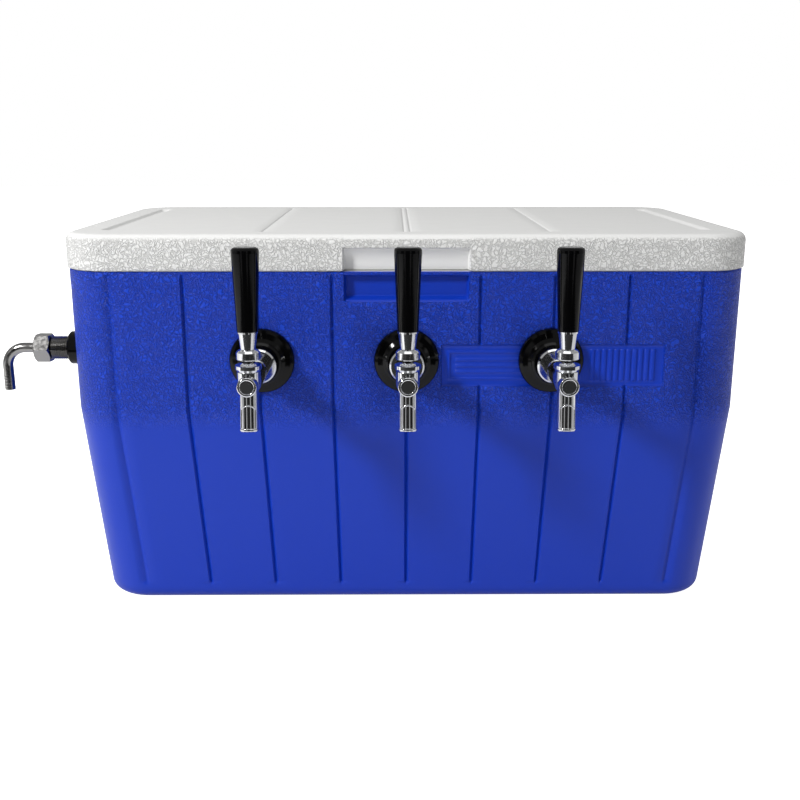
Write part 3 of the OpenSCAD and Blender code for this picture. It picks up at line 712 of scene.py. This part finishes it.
def make_lid():
    """The lid's grey skin, which stands for the CAD's lid shell."""
    straight_x, straight_y = LID_X - LID_R, LID_Y - LID_R
    x_lines = near(-GRIP_HALF, GRIP_SOFT) + near(GRIP_HALF, GRIP_SOFT)
    x_lines += [line + LINE_HALF * k for line in LINES_X for k in ACROSS]
    y_lines = near(-SLOT_Y, SLOT_END_SOFT) + near(SLOT_Y, SLOT_END_SOFT)
    for gx, gy in GATE_MARKS:
        x_lines += near(gx, GATE_R)
        y_lines += near(gy, GATE_R)
    xs = marks(filled(x_lines, -straight_x, straight_x, 0.012), straight_x, 36)
    ys = marks(filled(y_lines, -straight_y, straight_y, 0.014), straight_y, 16)

    grip_lines = (0.0, 0.0006, 0.0011, 0.0016, LID_LIP, LID_LIP + LID_SLOPE)
    levels = filled([TOP - LID_GRIP_TOP - v for v in grip_lines], RIM + 0.0016, TOP - EDGE_R, 0.006)
    edge = [(1 - math.cos(a), 1 - math.sin(a)) for a in map(math.radians, range(0, 90, 10))]
    outer = [lid_row(xs, ys, TOP - EDGE_R * down, 0, EDGE_R * back) for down, back in edge]
    outer += [lid_row(xs, ys, z, 0, 0) for z in reversed(levels)]
    outer.append(lid_row(xs, ys, RIM + 0.0011, 0.0003, 0))
    outer.append(lid_row(xs, ys, RIM + SKIRT_GAP, 0.0010, 0))
    inner_top, inner_r = TOP - SKIN, EDGE_R - SKIN
    inner = [lid_row(xs, ys, inner_top - inner_r * down, SKIN, inner_r * back) for down, back in edge]
    inner += [lid_row(xs, ys, z, SKIN - 0.0001, 0) for z in reversed(levels)]
    inner.append(lid_row(xs, ys, RIM + SKIRT_GAP, SKIN - 0.0001, 0))
    lid = skin_solid("lid_skin", xs, ys, outer, inner, lid_cap(TOP, 0, EDGE_R, 1),
                     lid_cap(inner_top, SKIN, inner_r, 0), MATERIALS["grey_lid"])
    lid.data.flip_normals()
    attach(lid, "lid")
    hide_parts("lid_shell")


# CAD nodes ------------------------------------------------------------------------------------

NODE_ANGLE, COIL_ANGLE = 32, 50           # as SHARP_ANGLE, for CAD nodes and for faceted coils


def dress_nodes():
    """Every CAD node gets its slot's material, smooth faces and crisp edges."""
    slots = {row["node"]: row["material_slot"] for row in frame["record"]["subparts"]}
    for name, obj in nodes.items():
        obj.data.materials.clear()
        obj.data.materials.append(MATERIALS[slots[name]])
        obj.data.shade_smooth()
        angle = COIL_ANGLE if name.startswith("coil_") else NODE_ANGLE
        obj.data.set_sharp_from_angle(angle=math.radians(angle))


# Tap trim -------------------------------------------------------------------------------------

def turned(profile, segments=72):
    """Vertices and faces of a closed ring turned round +Z from a closed profile of (r, z) pairs."""
    count = len(profile)
    vertices, faces = [], []
    for k in range(segments):
        a = 2 * math.pi * k / segments
        vertices += [(r * math.cos(a), r * math.sin(a), z) for r, z in profile]
        here, beyond = k * count, (k + 1) % segments * count
        faces += [(here + j, here + (j + 1) % count, beyond + (j + 1) % count, beyond + j)
                  for j in range(count)]
    return vertices, faces


def swept(path, radius, sides=12):
    """A round bar along a path of points, closed at both ends."""
    vertices, count = [], len(path)
    for i, point in enumerate(path):
        heading = (path[min(i + 1, count - 1)] - path[max(i - 1, 0)]).normalized()
        side = heading.cross(Vector((0, 1, 0.3))).normalized()
        up = side.cross(heading)
        for k in range(sides):
            a = 2 * math.pi * k / sides
            vertices.append(tuple(point + radius * (math.cos(a) * side + math.sin(a) * up)))
    faces = []
    for i in range(count - 1):
        here, beyond = i * sides, (i + 1) * sides
        faces += [(here + k, here + (k + 1) % sides, beyond + (k + 1) % sides, beyond + k)
                  for k in range(sides)]
    faces.append(tuple(reversed(range(sides))))
    faces.append(tuple((count - 1) * sides + k for k in range(sides)))
    return vertices, faces


def placed(shape, place, direction):
    """A turned shape with its own +Z pointed in a direction and its origin moved to a place."""
    vertices, faces = shape
    spin = direction.to_track_quat("Z", "Y").to_matrix()
    return [tuple(spin @ Vector(v) + place) for v in vertices], faces


def trim(name, shape):
    """One fixed chrome piece on the chest."""
    obj = make_object(name, *shape, MATERIALS["chrome"])
    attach(obj, "cooler")


def half_round(r_in, r_out, height, steps=8):
    """Profile of a ring with a flat back and a rounded face."""
    middle, half = (r_in + r_out) / 2, (r_out - r_in) / 2
    arc = [(middle + half * math.cos(math.pi * k / steps), height * math.sin(math.pi * k / steps))
           for k in range(steps + 1)]
    return [(r_out, -RING_SUNK)] + arc + [(r_in, -RING_SUNK)]


def make_inlet_barbs():
    """Shallow hose ridges round the free end of the inlet's elbow."""
    low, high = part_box("inlet_elbow")
    middle = Vector((low.x + ELBOW_R, (low.y + high.y) / 2, low.z))
    ridge = [(ELBOW_R - 0.0004, 0.0), (ELBOW_R + 0.0002, 0.0003), (ELBOW_R + 0.0002, 0.0007),
             (ELBOW_R - 0.0004, 0.0020)]
    for k in range(BARB_COUNT):
        place = middle + Vector((0, 0, BARB_FROM + BARB_PITCH * k))
        shape = placed(turned(ridge), place, Vector((0, 0, 1)))
        obj = make_object(f"inlet_barb_{k + 1}", *shape, MATERIALS["stainless"])
        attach(obj, "cooler")


def spout_arch(root, down):
    """Path of the raised arch on a spout's front: two legs that meet in a round top."""
    path = []
    for k in range(-ARCH_STEPS, ARCH_STEPS + 1):
        t = k / ARCH_STEPS
        swing = ARCH_SWING * math.copysign(min(1.0, abs(t) * ARCH_SPREAD), t)
        if abs(t) < ARCH_TURN:
            drop = ARCH_TOP + ARCH_SHOULDER * (1 - math.cos(abs(t) / ARCH_TURN * math.pi / 2))
        else:
            drop = ARCH_TOP + ARCH_SHOULDER + ARCH_LEG * (abs(t) - ARCH_TURN) / (1 - ARCH_TURN)
        out_dir = Vector((math.sin(swing), -math.cos(swing), 0))
        path.append(root + down * drop + out_dir * (SPOUT_R - ARCH_SUNK))
    return path


def make_tap_trim():
    """A rounded ring about each shaft button, a rolled lip on each spout and an arch on its front."""
    outwards = Vector((0, -1, 0))
    down = Vector((0, -math.sin(SPOUT_LEAN), -math.cos(SPOUT_LEAN)))
    turn = [2 * math.pi * k / 12 for k in range(12)]
    lip = [(SPOUT_R + SPOUT_LIP_OUT * math.cos(a), SPOUT_LIP_HALF * math.sin(a)) for a in turn]
    for side in SIDES:
        low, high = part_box("faucet_body_" + side)
        x = (low.x + high.x) / 2
        axis_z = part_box("shank_" + side)[1].z - SHANK_R
        front = Vector((x, low.y, axis_z))
        root = Vector((x, low.y + SPOUT_BACK, axis_z))
        trim("button_ring_" + side, placed(turned(half_round(*BUTTON_RING)), front, outwards))
        trim("spout_lip_" + side, placed(turned(lip), root + down * SPOUT_LIP_DROP, down))
        trim("spout_arch_" + side, swept(spout_arch(root, down), ARCH_R))


# Stage ----------------------------------------------------------------------------------------

# Name, place, target, size and watts of each area light
LIGHTS = (
    ("key", (-1.75, -1.45, 1.65), (0, 0, 0.25), (0.4, 0.4), 60),
    ("top", (0, -0.2, 2.4), (0, 0, 0), (1.6, 1.6), 11),
    ("fill", (2.2, -1.8, 1.4), (0, 0, 0.2), (1.2, 1.2), 3),
    ("right", (2.3, 0.5, 0.27), (0.3, 0, 0.2), (1.2, 0.5), 9),
    ("back", (-0.5, 2.3, 0.27), (0, 0.1, 0.2), (1.8, 0.5), 14),
)
UNREFLECTED = ("right", "back")           # these stand low and must not glare on the lid
FLOOR_HALF = 8.0
SKY_STRENGTH = 0.40
CARD_Y, CARD_TOP = -2.4, 2.2
CARDS = (("card_front", -0.85, 0.55), ("card_front_left", -3.6, -1.35),
         ("card_front_right", 1.05, 3.6))
FLOOR_CARD_HALF, FLOOR_CARD_Y, FLOOR_CARD_Z = 1.5, -0.75, 0.002


def area_light(name, place, target, size, power):
    """A rectangular light that faces its target."""
    data = bpy.data.lights.new(name, "AREA")
    data.shape = "RECTANGLE"
    data.size, data.size_y = size
    data.energy = power
    light = bpy.data.objects.new(name, data)
    light.location = place
    light.rotation_euler = (Vector(target) - Vector(place)).to_track_quat("-Z", "Y").to_euler()
    if name in UNREFLECTED:
        light.visible_glossy = light.visible_camera = False
    bpy.context.scene.collection.objects.link(light)


def card(name, corners, material):
    """A dark studio card that shows only in reflections."""
    obj = make_object(name, corners, [(0, 1, 2, 3)], material)
    obj.visible_camera = obj.visible_diffuse = obj.visible_shadow = False


def make_floor():
    """White paper that shows as pure white to the camera but gives off no light of its own."""
    paper = plain_plastic("white studio floor", (0.90, 0.90, 0.90, 1), (0.92, 0.92, 0.92, 1),
                          0.6, 20.0, 0.0001)
    glow = paper.node_tree.nodes["Principled BSDF"].inputs
    glow["Emission Color"].default_value = (1, 1, 1, 1)
    seen = paper.node_tree.nodes.new("ShaderNodeLightPath")
    paper.node_tree.links.new(seen.outputs["Is Camera Ray"], glow["Emission Strength"])
    half = FLOOR_HALF
    corners = [(-half, -half, 0), (half, -half, 0), (half, half, 0), (-half, half, 0)]
    floor = make_object("floor", corners, [(0, 1, 2, 3)], paper)


def make_cards():
    """Black cards in front of the object, for the dark bands that chrome shows in the photograph."""
    black = plain_plastic("black card", (0.01, 0.01, 0.01, 1), (0.014, 0.014, 0.014, 1),
                          0.8, 30.0, 0.0001)
    y, top = CARD_Y, CARD_TOP
    for name, x0, x1 in CARDS:
        card(name, [(x0, y, 0.0), (x1, y, 0.0), (x1, y, top), (x0, y, top)], black)
    half, near_y, z = FLOOR_CARD_HALF, FLOOR_CARD_Y, FLOOR_CARD_Z
    card("card_floor", [(-half, y, z), (half, y, z), (half, near_y, z), (-half, near_y, z)], black)


def make_sky():
    """A world that is white to the camera and dimmer as a light."""
    world = bpy.data.worlds.new("studio")
    world.use_nodes = True
    tree = world.node_tree
    background = tree.nodes["Background"]
    background.inputs["Color"].default_value = (1, 1, 1, 1)
    background.inputs["Strength"].default_value = SKY_STRENGTH
    backdrop = tree.nodes.new("ShaderNodeBackground")
    backdrop.inputs["Color"].default_value = (1, 1, 1, 1)
    chosen = tree.nodes.new("ShaderNodeMixShader")
    seen = tree.nodes.new("ShaderNodeLightPath")
    tree.links.new(seen.outputs["Is Camera Ray"], chosen.inputs["Fac"])
    tree.links.new(background.outputs["Background"], chosen.inputs[1])
    tree.links.new(backdrop.outputs["Background"], chosen.inputs[2])
    tree.links.new(chosen.outputs["Shader"], tree.nodes["World Output"].inputs["Surface"])
    bpy.context.scene.world = world


def make_stage():
    """Floor, reflection cards, world and lights: none of them is part of the object."""
    make_floor()
    make_cards()
    make_sky()
    for light in LIGHTS:
        area_light(*light)


make_camera()
dress_nodes()
make_shell()
make_lid()
make_tap_trim()
make_inlet_barbs()
make_stage()
